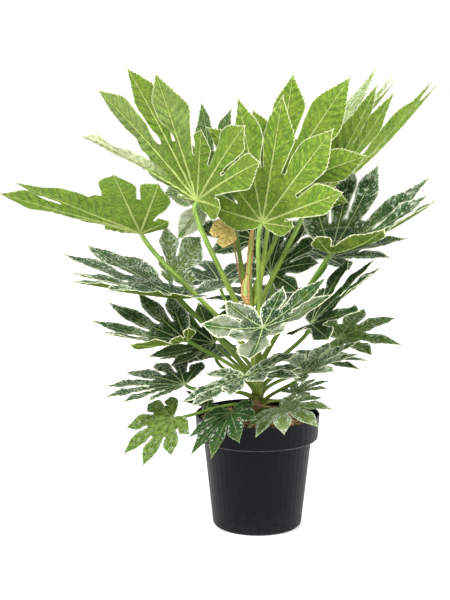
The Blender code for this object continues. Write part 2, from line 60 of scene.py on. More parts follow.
def newNode(tree, kind, inputs, **settings):
    # settings go first, because some of them change the sockets
    step = tree.nodes.new("ShaderNode" + kind)
    for name, value in settings.items():
        setattr(step, name, value)
    plugAll(tree, step, inputs)
    return step


def signal(tree, kind, inputs, output=0, **settings):
    return Signal(tree, newNode(tree, kind, inputs, **settings).outputs[output])


def calc(tree, operation, a, b=0.0):
    return signal(tree, "Math", {0: a, 1: b}, operation=operation)


def vector(x, y, z):
    return signal(x.tree, "CombineXYZ", {0: x, 1: y, 2: z})


def mixed(tree, share, a, b, kind="MIX"):
    return signal(tree, "Mix", {0: share, 6: a, 7: b}, 2, data_type="RGBA", blend_type=kind)


def stored(tree, name):
    return signal(tree, "Attribute", {}, "Fac", attribute_name=name)


def objectPlace(tree):
    return signal(tree, "TexCoord", {}, "Object")


class Signal:
    # a value that changes over a surface: each sum or call on it adds its shader node

    def __init__(self, tree, socket):
        self.tree = tree
        self.socket = socket

    def __add__(self, other):
        return calc(self.tree, "ADD", self, other)

    def __sub__(self, other):
        return calc(self.tree, "SUBTRACT", self, other)

    def __rsub__(self, other):
        return calc(self.tree, "SUBTRACT", other, self)

    def __mul__(self, other):
        return calc(self.tree, "MULTIPLY", self, other)

    def larger(self, other):
        return calc(self.tree, "MAXIMUM", self, other)

    def backAndForth(self):
        return calc(self.tree, "PINGPONG", self, 0.5)

    def gapTo(self, level):
        return calc(self.tree, "ABSOLUTE", self - level)

    def fade(self, start, end, low=0.0, high=1.0):
        # low before start, high past end, smooth between: start may be the larger one
        wanted = {"Value": self, "From Min": start, "From Max": end, "To Min": low, "To Max": high}
        return signal(self.tree, "MapRange", wanted, "Result", interpolation_type="SMOOTHSTEP")

    def cloud(self, scale, detail=2.0, rough=0.5):
        wanted = {"Vector": self, "Scale": scale, "Detail": detail, "Roughness": rough}
        return signal(self.tree, "TexNoise", wanted)

    def cells(self, scale):
        wanted = {"Vector": self, "Scale": scale}
        return signal(self.tree, "TexVoronoi", wanted, "Distance", feature="DISTANCE_TO_EDGE")

    def stretched(self, upright):
        return signal(self.tree, "Mapping", {"Vector": self, "Scale": (1.0, 1.0, upright)})

    def blend(self, a, b):
        # colour a where this is 0, b where it is 1
        return mixed(self.tree, self, a, b)

    def shade(self, colour):
        return mixed(self.tree, 1.0, colour, vector(self, self, self), "MULTIPLY")


def newGroup(name, inputs, outputs):
    # both give a label and a first value for each socket
    group = bpy.data.node_groups.new(name, "ShaderNodeTree")
    for way, wanted in (("INPUT", inputs), ("OUTPUT", outputs)):
        for label, value in wanted.items():
            isColour = isinstance(value, tuple)
            kind = "NodeSocketColor" if isColour else "NodeSocketFloat"
            socket = group.interface.new_socket(name=label, in_out=way, socket_type=kind)
            socket.default_value = (*value, 1) if isColour else value
    sockets = group.nodes.new("NodeGroupInput").outputs
    given = {socket.name: Signal(group, socket) for socket in sockets if socket.name in inputs}
    return group, given, group.nodes.new("NodeGroupOutput")


def newMaterial(name, roughness, specular=0.3):
    look = bpy.data.materials.new(name)
    look.use_nodes = True
    tree = look.node_tree
    plugAll(tree, tree.nodes["Principled BSDF"], {"Roughness": roughness, "Specular IOR Level": specular})
    return look, tree


def dress(look, colour, height, strength, distance, rough=None):
    # a strength below 0 turns the relief inside out
    tree = look.node_tree
    relief = signal(tree, "Bump", {"Strength": abs(strength), "Distance": distance, "Height": height},
                    invert=strength < 0)
    wanted = {"Base Color": colour, "Normal": relief}
    if rough is not None:
        wanted["Roughness"] = rough
    plugAll(tree, tree.nodes["Principled BSDF"], wanted)
    return look


def addObject(name, content):
    item = bpy.data.objects.new(name, content)
    bpy.context.scene.collection.objects.link(item)
    return item


cameraValues = {"place": (0.0, -2.45, 0.8), "tiltDown": 9.6, "turn": 1.28, "lens": 89.5, "sensor": 36.0}

studioValues = {
    "floorSize": 60.0,
    "floorColour": (0.92, 0.92, 0.91),
    "floorGlow": 0.34,
    "skyForLight": 0.74,
    "skySeen": 1.1,
    # name, place, aim, size, watts
    "lamps": (
        ("keyLamp", (-1.6, -2.4, 2.6), (0.0, 0.0, 0.45), 1.1, 125.0),
        ("sideLamp", (2.4, -1.0, 1.4), (0.0, 0.0, 0.45), 1.2, 30.0),
        ("backLamp", (0.3, 2.4, 2.3), (0.0, 0.0, 0.5), 1.4, 45.0),
    ),
}


def addCamera(values):
    camera = bpy.data.cameras.new("photoCamera")
    camera.lens = values["lens"]
    camera.sensor_width = values["sensor"]
    item = addObject("photoCamera", camera)
    item.location = values["place"]
    item.rotation_euler = (radians(90 - values["tiltDown"]), 0, radians(values["turn"]))
    bpy.context.scene.camera = item


def addStudio(values):
    half = values["floorSize"] / 2
    mesh = bpy.data.meshes.new("studioFloor")
    corners = [(-half, -half, 0), (half, -half, 0), (half, half, 0), (-half, half, 0)]
    mesh.from_pydata(corners, [], [(0, 1, 2, 3)])
    paint, tree = newMaterial("studioFloorPaint", 0.9, 0.1)
    plugAll(tree, tree.nodes["Principled BSDF"], {
        "Base Color": values["floorColour"], "Emission Color": (1, 1, 1),
        "Emission Strength": values["floorGlow"]})
    mesh.materials.append(paint)
    floor = addObject("studioFloor", mesh)

    world = bpy.data.worlds.new("studioSky")
    world.use_nodes = True
    bpy.context.scene.world = world
    tree = world.node_tree
    seen = signal(tree, "LightPath", {}, "Is Camera Ray")
    strength = signal(tree, "MapRange", {"Value": seen, "To Min": values["skyForLight"],
                                         "To Max": values["skySeen"]}, "Result")
    plugAll(tree, tree.nodes["Background"], {"Strength": strength, "Color": (1, 1, 1)})

    for name, place, aim, size, watts in values["lamps"]:
        lamp = bpy.data.lights.new(name, "AREA")
        lamp.size = size
        lamp.energy = watts
        item = addObject(name, lamp)
        item.location = place
        item.rotation_euler = (Vector(aim) - Vector(place)).to_track_quat("-Z", "Y").to_euler()

    bpy.context.scene.view_settings.view_transform = "Standard"


addCamera(cameraValues)
addStudio(studioValues)
print("camera, floor and lights set")

# what each blade stores at its points, and what each leaf stores as a whole
leafPlaces = ("alongRib", "offRib", "veinPhase", "edgeGap", "lobeShare", "lobePale")
leafTraits = ("leafTone", "leafSpeck", "leafEdge")

# scales of the noises in the skin of a leaf
skinScales = {"broad": 34.0, "medium": 190.0, "streak": 100.0, "fine": 380.0, "warm": 21.0, "puff": 55.0,
              "net": 230.0, "netFine": 520.0}


def makeLeafSkin(scales):
    # veins, pale margin, mottling and speckle, for both sides of every blade
    group, given, result = newGroup("leafSkin", {
        "flesh": (0.2, 0.3, 0.1), "deep": (0.1, 0.2, 0.05), "warm": (0.3, 0.35, 0.05),
        "rib": (0.5, 0.6, 0.3), "margin": (0.7, 0.7, 0.5), "speck": (0.4, 0.4, 0.3), "speck amount": 1.0,
        "warmth": 0.3, "margin width": 0.002, "rib width": 0.0018, "side vein": 0.5, "net": 0.4,
        "contrast": 1.1, "vein shade": -0.2, "ragged": 0.007, "outer silver": 0.0, "quilting": 1.5,
        "plain veins": 1.0},
        {"colour": (0.2, 0.3, 0.1), "height": 0.0, "gloss": 1.0})
    along, off, phase, gap, share, pale, tone, spots, trim = (
        stored(group, name) for name in leafPlaces + leafTraits)
    number = tone * 3.7
    flat = vector(along, off, number)
    # stretched along the side veins, so noise on it lies in streaks between them
    swept = vector((along - off) * 3.2, (along + off) * 0.9, number)
    broad = flat.cloud(scales["broad"])
    medium = flat.cloud(scales["medium"], 3.0, 0.6)
    streak = swept.cloud(scales["streak"], 4.0, 0.68)
    fine = swept.cloud(scales["fine"], 2.0, 0.6)
    patches = broad - 0.5

    # side veins run from the midrib towards the margin and grow thinner on the way
    ping = (phase + patches * 0.7).backAndForth()
    vein = ping.fade(off.fade(0.0, 0.03, 0.075, 0.03), 0.0) * gap.fade(0.0, 0.006)
    ribHalf = given["rib width"] * share.fade(0.0, 1.0, 1.25, 0.35)
    rib = off.fade(ribHalf, ribHalf * 0.45)
    net = flat.cells(scales["net"]).fade(0.12, 0.0)
    netFine = flat.cells(scales["netFine"]).fade(0.12, 0.0)

    # flesh: deeper in patches and in streaks along the veins, yellower in broad ones, tone over the whole
    # leaf, and painted shade beside the side veins
    deep = (broad * 0.3 + streak * 0.7).fade(0.4, 0.58)
    colour = deep.blend(given["flesh"], given["deep"])
    warm = flat.cloud(scales["warm"]).fade(0.42, 0.66) * given["warmth"]
    colour = warm.larger(tone.fade(1.0, 2.0, 0.0, 0.85)).blend(colour, given["warm"])
    drift = (medium - 0.5 + (fine - 0.5)) * (given["contrast"] * 1.5)
    # painted shade: the flesh is darker next to each side vein, as if the quilting shaded it
    drift += ping.fade(0.24, 0.05) * given["vein shade"] * given["contrast"]
    bright = (tone * 0.76 + 0.62) * (drift + 1.0)
    colour = bright.larger(0.15).shade(colour)

    # speckle: streaks between the side veins, denser close to the margin
    amount = spots * given["speck amount"]
    near = gap.fade(0.007, 0.0) * (amount * 0.3 + 0.05)
    amount = amount + near + patches * 0.45
    core = calc(group, "DIVIDE", gap, gap + off + 0.0005)
    amount += (0.5 - core) * (given["outer silver"] * spots)
    limit = 0.7 - amount * 0.42
    grains = streak * 0.7 + fine * 0.3
    specks = grains.fade(limit, limit + 0.014) * medium.fade(0.4, 0.52, 0.2, 1.0)
    colour = specks.blend(colour, given["speck"])
    cream = pale * (off + patches * 0.01).fade(0.001, 0.006) * grains.fade(0.6, 0.5, 0.1, 1.0)
    colour = cream.blend(colour, given["margin"])

    # veins and their net over the flesh, then the ragged margin over all
    lines = (vein * given["side vein"]).larger(rib)
    netting = net.larger(netFine * 0.6) * given["net"]
    clear = trim.fade(0.0, 0.8, given["plain veins"], 1.0)
    colour = (lines.larger(netting) * clear).blend(colour, given["rib"])
    ragged = gap + (grains - 0.5) * given["ragged"]
    edge = ragged.fade(given["margin width"], given["margin width"] * 0.55) * trim
    colour = edge.blend(colour, given["margin"])

    puffed = flat.cloud(scales["puff"]).fade(0.35, 0.65, 0.25, 1.0)
    quilted = (1.0 - ping * 2.0) * given["quilting"] * puffed
    height = quilted + (vein * 0.9 + rib) + net * 0.35 + netFine * 0.15 + streak * 0.7 + medium * 0.7
    gloss = medium.fade(0.25, 0.75, 0.85, 1.15)
    plugAll(group, result, {"colour": colour, "height": height, "gloss": gloss})
    return group


leafSkin = makeLeafSkin(skinScales)

leafFinishes = {
    "youngUpper": dict(roughness=0.55, specular=0.06, bump=-0.9, skin={
        "flesh": (0.25, 0.4, 0.075), "deep": (0.12, 0.26, 0.035), "warm": (0.34, 0.4, 0.06),
        "rib": (0.6, 0.68, 0.3), "margin": (0.86, 0.87, 0.62), "speck": (0.68, 0.78, 0.52),
        "margin width": 0.0026, "rib width": 0.0016, "net": 0.15, "vein shade": -0.25, "outer silver": 0.2,
        "quilting": 1.2}),
    "youngLower": dict(roughness=0.6, specular=0.04, bump=1.3, skin={
        "flesh": (0.228, 0.36, 0.044), "deep": (0.105, 0.22, 0.019), "warm": (0.255, 0.31, 0.04),
        "rib": (0.5, 0.6, 0.19), "margin": (0.9, 0.91, 0.62), "speck": (0.44, 0.55, 0.19),
        "margin width": 0.0014, "rib width": 0.0024, "side vein": 0.6, "net": 0.13, "ragged": 0.004,
        "quilting": 1.1}),
    "matureUpper": dict(roughness=0.55, specular=0.04, bump=-0.8, skin={
        "flesh": (0.028, 0.082, 0.02), "deep": (0.005, 0.022, 0.006), "warm": (0.078, 0.12, 0.018),
        "rib": (0.46, 0.56, 0.27), "margin": (0.88, 0.89, 0.68), "speck": (0.49, 0.57, 0.43),
        "warmth": 0.5, "margin width": 0.0018, "rib width": 0.0014, "side vein": 0.3, "net": 0.04,
        "contrast": 1.4, "ragged": 0.008, "outer silver": 0.4, "quilting": 1.2, "plain veins": 0.35}),
    "matureLower": dict(roughness=0.62, specular=0.04, bump=1.0, skin={
        "flesh": (0.092, 0.152, 0.016), "deep": (0.038, 0.078, 0.008), "warm": (0.12, 0.145, 0.016),
        "rib": (0.36, 0.46, 0.12), "margin": (0.84, 0.86, 0.56), "speck": (0.28, 0.36, 0.11),
        "warmth": 0.4, "speck amount": 0.6, "margin width": 0.002, "rib width": 0.0022, "side vein": 0.4,
        "net": 0.12, "vein shade": -0.25, "ragged": 0.006}),
    "dryBoth": dict(roughness=0.75, specular=0.12, bump=1.0, skin={
        "flesh": (0.68, 0.55, 0.2), "deep": (0.6, 0.33, 0.1), "warm": (0.46, 0.5, 0.13),
        "rib": (0.5, 0.24, 0.07), "margin": (0.5, 0.22, 0.07), "speck": (0.72, 0.6, 0.22),
        "warmth": 0.9, "margin width": 0.0009, "rib width": 0.001, "net": 0.12, "contrast": 0.8,
        "ragged": 0.003}),
}

stalkFinishes = {
    "youngStalk": dict(low=(0.25, 0.34, 0.04), high=(0.27, 0.43, 0.08), fleck=(0.52, 0.6, 0.26)),
    "matureStalk": dict(low=(0.13, 0.2, 0.018), high=(0.115, 0.215, 0.022), fleck=(0.3, 0.38, 0.1)),
    "dryStalk": dict(low=(0.3, 0.16, 0.06), high=(0.42, 0.24, 0.09), fleck=(0.2, 0.1, 0.04)),
}


def makeLeafFinish(name, values):
    look, tree = newMaterial(name, values["roughness"], values["specular"])
    skin = newNode(tree, "Group", values["skin"], node_tree=leafSkin)
    colour, height, gloss = (Signal(tree, socket) for socket in skin.outputs)
    return dress(look, colour, height, values["bump"], 0.0008, gloss * values["roughness"])


def makeStalkFinish(name, values):
    # fine lengthwise streaks and small flecks, from one green at the stem to another at the blade
    look, tree = newMaterial(name, 0.42)
    share = stored(tree, "lobeShare")
    colour = share.fade(0.0, 0.9).blend(values["low"], values["high"])
    streak = vector(stored(tree, "offRib"), share * 0.8, stored(tree, "leafTone")).cloud(8.0, 3.0, 0.6)
    colour = streak.fade(0.3, 0.7, 0.66, 1.24).shade(colour)
    flecks = objectPlace(tree).cloud(700.0, 1.0).fade(0.62, 0.7)
    colour = (flecks * 0.5).blend(colour, values["fleck"])
    return dress(look, colour, streak + flecks * 0.3, 0.35, 0.0006)


finishes = {name: makeLeafFinish(name, values) for name, values in leafFinishes.items()}
finishes.update({name: makeStalkFinish(name, values) for name, values in stalkFinishes.items()})
print("leaf finishes made")

# the blade of each lobe is a fine grid between its midrib and its margins
blade = {
    "thickness": 0.0007,
    "ribDepth": 0.002,
    "fold": 10.0,
    "width": 0.172,
    "fall": 0.62,               # length of the outermost lobes against the middle one
    "sinusReach": 0.42,
    "outerStart": 0.26,         # where the free margin of an outermost lobe starts
    "bay": 0.14,                # size of the round bay where two lobes part
    "lobeShare": 0.97,
    "waist": 0.28,
    "point": 1.3,
    "tiltReach": 0.6,
    "ribHalf": 0.0024,          # half the width of a midrib at the hub
    "ribLoss": 0.0018,          # and what it loses on the way to the tip
    "fullLength": 0.2,          # ribs and quilting are finer on leaves under this length
    "ribCells": 2,
    "webRows": 9,
    "largeFrom": (0.18, 0.11),  # lengths from which a leaf counts as large or middle
    "rows": (64, 42, 34),       # of large, middle and small leaves
    "outerCells": (8, 7, 5),
    "veinSpacing": 0.085,
    "veinSlant": 0.9,
    "quilt": 0.0014,
    "wave": 0.007,
    "tooth": 0.015,
    "bite": 0.085,
}

stalk = {"least": 0.002, "growth": 0.0082, "footSwell": 1.45, "hubGap": 1.7, "meetsAt": 45.0,
         "outward": 0.25, "upward": 0.55, "head": 0.3, "tail": 0.22, "steps": 30, "sides": 14}

# node is the height at which the stalk leaves the stem and leave the compass angle there, if it isn't
# the hub's own. heading 0 looks right, 90 away, 180 left and -90 at the viewer. cup lifts the lobes,
# droop bends them down, and turn, scale, lift and tilt alter single lobes. pale is how cream each is.
# look is how light the green is, how much silver speckle there is and how strong the cream margin is.
# reach, width, fall, meet and tail, where given, replace the plain values of blade and stalk.
leafColumns = ("name", "node", "hub", "heading", "pitch", "roll", "length", "lobes", "spread", "droop",
               "cup", "look")
plainLook = (0.55, 0.35, 0.8)
leafRows = (
    ("leaf_top_left", 0.35, (-0.098, -0.06, 0.557), 197, 84, 15, 0.275, 9, 97, 0.15, -6, (0.3, 0.12, 0.8),
     dict(kind="young", fall=0.7, meet=35, tail=0.09, turn=(15, 10, 5, 0, -2, 3, 5, -5, -8),
     scale=(0.25, 1.25, 1.15, 1, 0.85, 0.55, 1, 1.05, 0.45), lift=(0, -8, -5, -3, -5, 0, 3, 4),
     tilt=(-35, -45, -12, 12, 22), pale=(0.9, 0.85, 0.1, 0, 0.08))),
    ("leaf_top_front", 0.315, (0.007, -0.1, 0.527), -83, 76, -50, 0.22, 7, 93, 0.03, 8, (0.48, 0.1, 0.8),
     dict(kind="young", leave=-60, meet=35, tail=0.09, turn=(0, 0, 2, 0, 0, -3, -10),
     scale=(1, 1, 1, 0.95, 1, 0.95, 0.4), lift=(-5, 0, 3, 2, 2, -2))),
    ("leaf_top_middle", 0.385, (0.029, 0.0, 0.573), -60, 79, -50, 0.2, 7, 93, 0.0, 8, (0.56, 0.2, 0.8),
     dict(kind="young", turn=(0, 0, 4, 0, -5), scale=(1, 1, 0.7, 0.95, 1.15))),
    ("leaf_top_right_behind", 0.392, (0.072, 0.14, 0.578), 20, 22, -9, 0.23, 5, 80, -0.58, 11,
     (0.3, 0.46, 1), dict(kind="young", turn=(0, 3, 0, -12), scale=(0.7, 1, 0.95, 1.25),
     pale=(0, 0.1, 0.05, 0.1, 0.15))),
    ("leaf_top_right", 0.362, (0.081, 0.08, 0.527), 5, 10, -25, 0.265, 7, 80, -0.5, 26, (0.42, 0.2, 0.8),
     dict(kind="young", width=0.155, turn=(0, 7, -3, 0, -9), scale=(0.9, 0.95, 0.85, 1.05, 1.25))),
    ("leaf_top_left_behind", 0.395, (-0.075, 0.15, 0.55), 87, 67, -55, 0.185, 7, 110, 0.19, 11,
     (1.5, 0.28, 0.8), dict(stalk=0.004, turn=(0, 0, 0, 0, 0, 0, 12), scale=(1, 1, 1, 1, 1, 1, 1.1),
     tilt=(0, 0, 0, 0, 0, -25, -30), pale=(0, 0, 0, 0, 0, 0.1, 0.45))),
    ("leaf_far_left", 0.3, (-0.189, -0.07, 0.506), 230, 22, 10, 0.23, 7, 80, 0.0, 8, (0.38, 0.14, 0.3),
     dict(kind="young", reach=0.6, turn=(0, 0, -2, -14, 2, -5), scale=(0.5, 1.0, 1.1, 1.05, 0.95, 1, 0.5),
     lift=(0, 0, -5, -4), tilt=(0, 0, 10))),
    ("leaf_upper_right", 0.288, (0.117, -0.08, 0.477), -2, 15, 18, 0.205, 8, 100, -0.41, 13,
     (0.8, 0.39, 0.9), dict(turn=(-10, 14, 7, 0, -3, 9, -2, -4),
     scale=(0.6, 0.9, 1.15, 0.85, 0.9, 0.95, 1.05, 1.05), lift=(26, 3, 2, 0, -3), tilt=(0, -36, -8))),
    ("leaf_upper_middle", 0.31, (0.021, 0.08, 0.418), 22, 62, 13, 0.145, 8, 89, 0.31, 3, (0.5, 0.3, 0.7),
     dict(turn=(0, 5, 0, 0, 3, -2, -4), scale=(1.05, 1.05, 1, 0.9, 0.9))),
    ("leaf_front", 0.282, (0.008, -0.13, 0.364), -79, -21, 21, 0.135, 8, 140, -0.38, 8, (0.75, 0.34, 1),
     dict(width=0.2, turn=(-3, 0, -8, 4, 0, 4, -3), scale=(1, 0.95, 0.55, 1.2, 0.55, 1.05, 1.1, 0.9),
     lift=(2, 0, 0, 0, 0, 3, 0, -2), tilt=(0, -45, -20), pale=(0.2, 0.25, 0.3, 0.35, 0.3, 0.1))),
    ("leaf_left_behind", 0.27, (-0.15, 0.12, 0.403), 121, 52, 19, 0.1, 5, 92, 0.04, 15, (1.75, 0.42, 0.2),
     dict(width=0.3, turn=(0, 2), scale=(0.8, 1.3, 1, 0.55, 0.6))),
    ("leaf_left", 0.262, (-0.131, -0.02, 0.392), 168, 3, 0, 0.25, 8, 115, -0.03, 10, (0.6, 0.38, 1),
     dict(turn=(0, 0, 13, 0, 0, 0, -9), scale=(1.05, 0.55, 1.15, 1, 0.75, 0.95, 1.05), lift=(-5, -10))),
    ("leaf_right", 0.262, (0.087, -0.04, 0.353), -23, 28, 17, 0.175, 8, 85, 0.05, 11, (0.45, 0.28, 1),
     dict(scale=(1, 1, 1, 0.95, 0.9, 1, 1.1), lift=(5, -10, -5, 5, 0, 0, 5))),
    ("leaf_middle_left", 0.25, (-0.116, -0.06, 0.329), 193, -11, -12, 0.16, 8, 87, -0.35, 14, (0.8, 0.41, 1),
     dict(width=0.15, scale=(1, 1, 1, 1, 1, 0.95, 0.6, 0.6), lift=(5, 3, 0, -3, 0, -2, 5, 20),
     tilt=(0, 0, 0, 0, 8, 40, 30))),
    ("leaf_middle_left_behind", 0.244, (-0.075, 0.07, 0.299), 153, -11, -30, 0.125, 7, 98, -0.08, 13,
     (0.45, 0.2, 0.5), dict(turn=(0, 8, 0, -5), scale=(1, 1, 1, 0.85))),
    ("leaf_middle_right", 0.24, (0.141, 0.08, 0.306), 24, 10, 11, 0.118, 7, 123, 0.25, 8, (1.7, 0.34, 0.25),
     dict(turn=(0, 0, 0, 0, -4), lift=(0, 0, -4, 4, 4))),
    ("leaf_low_front", 0.232, (-0.021, -0.09, 0.277), -87, -10, 13, 0.135, 8, 110, 0.1, 8, (0.6, 0.44, 1),
     dict(turn=(-5, 5, 0, 5, 0, 0, 0, -5), scale=(0.9, 1.05, 1, 0.95, 1, 1, 0.9, 1.15),
     lift=(0, -10, -5, 5, 10, 0, -5))),
    ("leaf_low_left", 0.222, (-0.121, -0.03, 0.247), 151, -8, -11, 0.15, 8, 82, 0.18, 10, (0.7, 0.34, 1),
     dict(turn=(0, 4, -4, -4))),
    ("leaf_low_right", 0.215, (0.074, -0.06, 0.275), 21, 20, -2, 0.115, 7, 110, 0.16, 9, (0.9, 0.52, 1), {}),
    ("leaf_small_right", 0.205, (0.062, 0.05, 0.215), 13, 15, 0, 0.073, 7, 108, 0.25, 8, (1.2, 0.55, 0.4),
     {}),
    ("leaf_rim_right", 0.2, (0.037, -0.075, 0.22), -51, 0, 17, 0.1, 7, 104, 0.45, 6, (2.1, 0.42, 0.15),
     dict(lift=(-3, 0, 4))),
    ("leaf_rim_front", 0.196, (-0.044, -0.108, 0.218), -105, -32, 24, 0.09, 7, 104, 0.45, 11,
     (1.1, 0.24, 0.1), dict(width=0.2)),
    ("leaf_rim_left", 0.192, (-0.085, 0.0, 0.2), 150, 25, 5, 0.06, 5, 110, 0.45, 16, (0.85, 0.25, 0.3), {}),
    ("leaf_hanging", 0.206, (-0.14, -0.06, 0.198), -176, -34, -29, 0.092, 7, 110, 0.38, 8,
     (1.85, 0.24, 0.05), dict(width=0.2, reach=0.5)),
    ("leaf_back_top", 0.322, (-0.005, 0.21, 0.46), 90, 40, 0, 0.15, 7, 115, 0.15, 8, plainLook,
     dict(leave=135)),
    ("leaf_back_upper_left", 0.3, (-0.07, 0.2, 0.385), 105, 8, 0, 0.13, 7, 115, 0.2, 8, plainLook, {}),
    ("leaf_back_upper_right", 0.33, (0.125, 0.18, 0.43), 45, 15, 0, 0.16, 7, 115, 0.2, 8, plainLook,
     dict(leave=60)),
    ("leaf_back_middle", 0.275, (0.02, 0.185, 0.345), 85, 5, 0, 0.16, 7, 115, 0.25, 8, plainLook, {}),
    ("leaf_back_low_left", 0.23, (-0.075, 0.125, 0.262), 115, 0, 0, 0.13, 7, 115, 0.3, 8, plainLook, {}),
    ("leaf_back_low_right", 0.225, (0.085, 0.11, 0.255), 50, 0, 0, 0.13, 7, 115, 0.3, 8, plainLook, {}),
    ("dry_leaf", 0.402, (-0.045, 0.005, 0.508), 200, -35, -55, 0.06, 2, 30, 0.2, 0, plainLook,
     dict(kind="dry", leave=175, stalk=0.0015, width=0.36, reach=1.2)),
)
leaves = [dict(zip(leafColumns, row), **row[-1]) for row in leafRows]

stem = {"holeFloor": 0.12, "mixTop": 0.181, "foot": 0.01, "top": 0.415, "lean": -0.016,
        "leanFrom": 0.25, "taperFrom": 0.27, "taper": 0.004, "roundFrom": 0.401,
        "scars": (0.205, 0.225, 0.248, 0.272, 0.3, 0.335, 0.37), "sides": 36, "rings": 170}


def ease(x):
    x = np.clip(x, 0.0, 1.0)
    return x * x * (3 - 2 * x)


def unit(v):
    return v / np.linalg.norm(v, axis=-1, keepdims=True)


def stemAxis(height):
    t = min(max((height - stem["leanFrom"]) / (stem["top"] - stem["leanFrom"]), 0.0), 1.0)
    return Vector((stem["lean"] * t * t * (3 - 2 * t), 0.0, height))


def stemRadius(height):
    if height < stem["taperFrom"]:
        return stem["foot"] + 0.0006 * sin((height - stem["mixTop"]) * 60)
    t = min((height - stem["taperFrom"]) / (stem["top"] - stem["taperFrom"]), 1.0)
    return stem["foot"] + 0.0003 - stem["taper"] * t


def leafAxes(leaf):
    heading, pitch, roll = (radians(leaf[key]) for key in ("heading", "pitch", "roll"))
    ahead = np.array((cos(pitch) * cos(heading), cos(pitch) * sin(heading), sin(pitch)))
    level = np.array((-sin(heading), cos(heading), 0.0))
    rise = np.cross(ahead, level)
    across = cos(roll) * level + sin(roll) * rise
    up = cos(roll) * rise - sin(roll) * level
    return ahead, across, up


def ownValue(leaf, key, index, plain=0):
    # lobes past the end of a row keep the plain value
    row = leaf.get(key, ())
    return row[index] if index < len(row) else plain


def leafSize(leaf):
    return min(leaf["length"] / blade["fullLength"], 1.0)


def makeLobe(leaf, index, rng):
    turn, lift, tilt = (ownValue(leaf, key, index) for key in ("turn", "lift", "tilt"))
    ahead, across, up = leafAxes(leaf)
    spread = radians(leaf["spread"])
    angle = -spread + 2 * spread * index / (leaf["lobes"] - 1) + radians(turn)
    fall = leaf.get("fall", blade["fall"])
    length = leaf["length"] * ownValue(leaf, "scale", index, 1)
    length *= fall + (1 - fall) * cos(angle * pi / 2 / spread)
    rise = radians(leaf["cup"] + lift)
    flat = cos(angle) * ahead + sin(angle) * across
    width = leaf.get("width", blade["width"])
    return {"angle": angle, "length": length, "direction": cos(rise) * flat + sin(rise) * up,
            "hub": np.array(leaf["hub"]), "up": up, "droop": leaf["droop"], "tilt": radians(tilt),
            "pale": ownValue(leaf, "pale", index),
            "halfWidth": width * sqrt(length * leaf["length"]), "twist": rng.uniform(-0.1, 0.1),
            "waveStart": rng.uniform(0, 6.28, 2), "toothStart": rng.uniform(0.0, 0.9, 2)}


def lobePoint(lobe, along, out):
    # places on the folded surface of a lobe, and the way that its middle faces there
    s = (along / lobe["length"])[..., None]
    down = np.array((0.0, 0.0, -1.0))
    centre = lobe["hub"] + lobe["length"] * (s * lobe["direction"] + lobe["droop"] * s * s / 2 * down)
    ahead = unit(lobe["direction"] + s * lobe["droop"] * down)
    facing = unit(lobe["up"] - np.sum(lobe["up"] * ahead, axis=-1, keepdims=True) * ahead)
    side = np.cross(facing, ahead)
    tilt = (lobe["tilt"] * ease(s[..., 0] / blade["tiltReach"]))[..., None]
    side, facing = np.cos(tilt) * side + np.sin(tilt) * facing, np.cos(tilt) * facing - np.sin(tilt) * side
    fold = radians(blade["fold"])
    soft = np.sqrt(out * out + 0.001 ** 2) - 0.001
    place = centre + (out * cos(fold))[..., None] * side + (soft * sin(fold))[..., None] * facing
    return place, facing


def lobeWidth(lobe, t):
    waist = blade["waist"]
    return lobe["halfWidth"] * np.clip(np.sin(np.pi * (waist + (1 - waist) * t)), 0, 1) ** blade["point"]


def toothedWidth(lobe, side, t):
    # small forward teeth on the outer two thirds of a margin
    count = 3 + int(lobe["length"] / blade["tooth"])
    phase = (t - 0.1) / 0.84 * count + lobe["toothStart"][0 if side < 0 else 1]
    share = phase - np.floor(phase)
    saw = np.where(share < 0.8, share / 0.8, (1 - share) / 0.2)
    depth = blade["bite"] * lobe["halfWidth"]
    return lobeWidth(lobe, t) + depth * (saw - 0.45) * ease((t - 0.06) / 0.16) * ease((0.99 - t) / 0.1)


def rowPlaces(fork, length, webShare, bladeShare):
    # distances of the rows from the hub: those of the web up to the fork, then those of the free blade
    return np.concatenate((fork * webShare, fork + (length - fork) * bladeShare))


def borderLine(leaf, lobe, side, neighbour, webShare, bladeShare):
    # along, out and shift of a lobe's border: a seam with its neighbour first, then its margin
    length = lobe["length"]
    if neighbour is None:
        start = blade["outerStart"] * length
        along = rowPlaces(start, length, webShare, bladeShare)
        first = lobeWidth(lobe, 0.0) * (1 - (1 - webShare) ** 1.8)
        out = np.concatenate((first, toothedWidth(lobe, side, bladeShare)))
        return along, side * out, np.zeros((len(along), 3)), start
    web = len(webShare)
    half = abs(neighbour["angle"] - lobe["angle"]) / 2
    reach = leaf.get("reach", blade["sinusReach"]) * (length + neighbour["length"]) / 2
    reach = min(reach, 0.72 * min(length, neighbour["length"]))
    start = reach * cos(half)
    limit = tan(half)
    along = rowPlaces(start, length, webShare, bladeShare)
    x = along[web:] - start
    bay = blade["bay"] * start * limit
    clear = bay * np.sqrt(1 - (1 - np.clip(x / bay, 0, 1)) ** 2) * np.exp(-x / (0.25 * length))
    clear += (1 - blade["lobeShare"]) * along[web:] * limit * ease(x / (0.1 * length))
    extra = max(start * limit - bay - lobeWidth(lobe, 0.0), 0.0) * np.exp(-x / (0.035 * length))
    free = toothedWidth(lobe, side, bladeShare) + extra
    capped = along[web:] * limit - clear
    # the smaller of the two, with a soft change from one to the other
    held = (np.maximum(free, 1e-5) ** -8 + np.maximum(capped, 1e-5) ** -8) ** (-1 / 8)
    out = np.concatenate((start * webShare * limit, held))
    own, _ = lobePoint(lobe, along, side * out)
    other, _ = lobePoint(neighbour, along[:web], -side * out[:web])
    shift = np.zeros((len(along), 3))
    shift[:web] = (other - own[:web]) / 2
    shift[web:] = shift[web - 1] * (1 - ease(x / (0.22 * length)))[:, None]
    return along, side * out, shift, start


